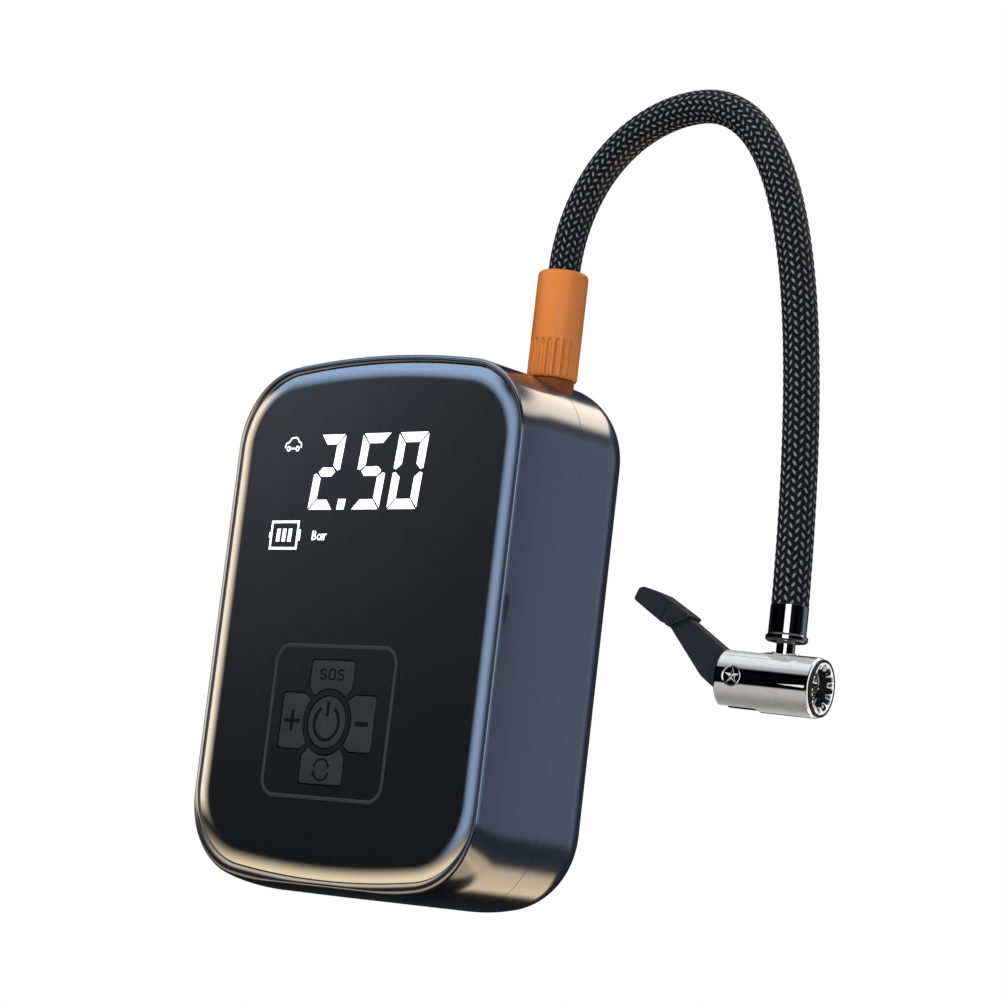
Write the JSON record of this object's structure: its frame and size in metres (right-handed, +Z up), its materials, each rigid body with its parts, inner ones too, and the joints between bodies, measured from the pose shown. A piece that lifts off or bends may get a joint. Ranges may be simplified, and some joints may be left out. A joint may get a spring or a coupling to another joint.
{
  "type": "portable tire inflator",
  "caption": "Handheld battery air pump: two-shell housing with a glossy front panel and keypad, braided hose on a screw nut, and a lever chuck for tyre valves.",
  "frame": {"origin": "centre of the flat base, at mid depth", "axes": "+Z up along the housing, +X towards the hose side, +Y towards the back, so the panel faces -Y"},
  "size_m": [0.171, 0.0428, 0.1959],
  "materials": {
    "shell": "dark navy, glossy metallic lacquer",
    "lens": "black, mirror gloss with rounded edges",
    "key": "dark grey, satin",
    "display": "black with white segments",
    "pcb": "green solder mask",
    "dark_plastic": "black moulded plastic",
    "cell": "blue shrink wrap",
    "nickel": "nickel plated",
    "steel": "zinc plated",
    "aluminium": "die cast",
    "brass": "turned",
    "silicone": "translucent silicone",
    "clear": "frosted clear",
    "winding": "laminations and copper windings",
    "rubber": "black rubber",
    "orange": "orange, satin",
    "braid": "black polyester braid",
    "black_chrome": "polished dark chrome",
    "chrome": "mirror chrome",
    "lever": "matte black"
  },
  "bodies": {
    "housing": {"front_shell": "shell", "rear_shell": "shell", "front_lens": "lens", "display_module": "display", "main_pcb": "pcb", "switch_power": "dark_plastic", "switch_sos": "dark_plastic", "switch_mode": "dark_plastic", "switch_plus": "dark_plastic", "switch_minus": "dark_plastic", "battery_cell_left": "cell", "battery_cell_right": "cell", "battery_strip_top": "nickel", "battery_strip_bottom": "nickel", "motor_can": "steel", "motor_end_cap": "dark_plastic", "pump_frame": "aluminium", "crank_axle": "steel", "pump_cylinder": "aluminium", "cylinder_head": "aluminium", "valve_spring": "steel", "head_screw_a": "steel", "head_screw_b": "steel", "motor_screw_a": "steel", "motor_screw_b": "steel", "housing_screw_a": "steel", "housing_screw_b": "steel", "housing_screw_c": "steel", "housing_screw_d": "steel", "air_tube": "silicone", "outlet_socket": "brass", "sensor_tube": "silicone", "pressure_sensor": "dark_plastic", "usb_port": "steel", "lamp_lens": "clear"},
    "rotor": {"motor_rotor": "winding", "drive_pinion": "brass"},
    "crank": {"crank_gear": "steel"},
    "piston": {"piston_rod": "aluminium", "piston_seal": "rubber"},
    "valve": {"valve_ball": "steel"},
    "barb": {"hose_barb": "brass"},
    "nut": {"hose_nut": "orange", "hose_spigot": "brass"},
    "hose": {"hose_upper": "braid"},
    "hose_end": {"hose_lower": "braid", "hose_ferrule": "black_chrome", "chuck_body": "chrome", "chuck_front_ring": "rubber", "chuck_jaws": "nickel", "chuck_seal": "rubber", "lever_pin": "chrome"},
    "lever": {"chuck_lever": "lever"},
    "plunger": {"chuck_plunger": "brass"},
    "key_power": {"key_power": "key"},
    "key_sos": {"key_sos": "key"},
    "key_mode": {"key_mode": "key"},
    "key_plus": {"key_plus": "key"},
    "key_minus": {"key_minus": "key"}
  },
  "joints": [
    {"name": "power_key_press", "type": "slide", "parent": "housing", "child": "key_power", "axis": [0, 1, 0], "range_m": [0, 0.0004]},
    {"name": "sos_key_press", "type": "slide", "parent": "housing", "child": "key_sos", "axis": [0, 1, 0], "range_m": [0, 0.0004]},
    {"name": "mode_key_press", "type": "slide", "parent": "housing", "child": "key_mode", "axis": [0, 1, 0], "range_m": [0, 0.0004]},
    {"name": "plus_key_press", "type": "slide", "parent": "housing", "child": "key_plus", "axis": [0, 1, 0], "range_m": [0, 0.0004]},
    {"name": "minus_key_press", "type": "slide", "parent": "housing", "child": "key_minus", "axis": [0, 1, 0], "range_m": [0, 0.0004]},
    {"name": "crank_spin", "type": "hinge", "parent": "housing", "child": "crank", "pos_m": [0, 0.003, 0.0376], "axis": [1, 0, 0], "continuous": true},
    {"name": "rotor_spin", "type": "hinge", "parent": "housing", "child": "rotor", "pos_m": [0, 0.003, 0.0215], "axis": [1, 0, 0], "continuous": true},
    {"name": "piston_stroke", "type": "slide", "parent": "housing", "child": "piston", "axis": [0, 0, 1], "range_m": [0, 0.008]},
    {"name": "valve_lift", "type": "slide", "parent": "housing", "child": "valve", "axis": [0, 0, 1], "range_m": [0, 0.0008], "deforming": ["valve_spring"]},
    {"name": "hose_lift", "type": "slide", "parent": "housing", "child": "barb", "axis": [0, 0, 1], "range_m": [0, 0.005]},
    {"name": "nut_turn", "type": "hinge", "parent": "barb", "child": "nut", "pos_m": [0.0353, 0, 0.1275], "axis": [0, 0, 1], "range_deg": [0, 1445]},
    {"name": "hose_swivel", "type": "hinge", "parent": "barb", "child": "hose", "pos_m": [0.0353, 0, 0.1529], "axis": [0, 0, 1], "range_deg": [-110, 110]},
    {"name": "hose_bend", "type": "hinge", "parent": "hose", "child": "hose_end", "pos_m": [0.10459, 0, 0.14983], "axis": [0, 1, 0], "range_deg": [-30, 5]},
    {"name": "lever_turn", "type": "hinge", "parent": "hose_end", "child": "lever", "pos_m": [0.10299, -0.00181, 0.05716], "axis": [-0.1908, 0.9816, 0], "range_deg": [-32, 50]},
    {"name": "plunger_push", "type": "slide", "parent": "hose_end", "child": "plunger", "axis": [0.9809, 0.1907, -0.0384], "range_m": [-0.0011, 0.0007]}
  ],
  "couplings": [
    {"joint": "rotor_spin", "follows": "crank_spin", "ratio": -3},
    {"joint": "nut_turn", "follows": "hose_lift", "rad_per_m": 5026.5},
    {"joint": "plunger_push", "follows": "lever_turn", "m_per_rad": -0.0012}
  ]
}
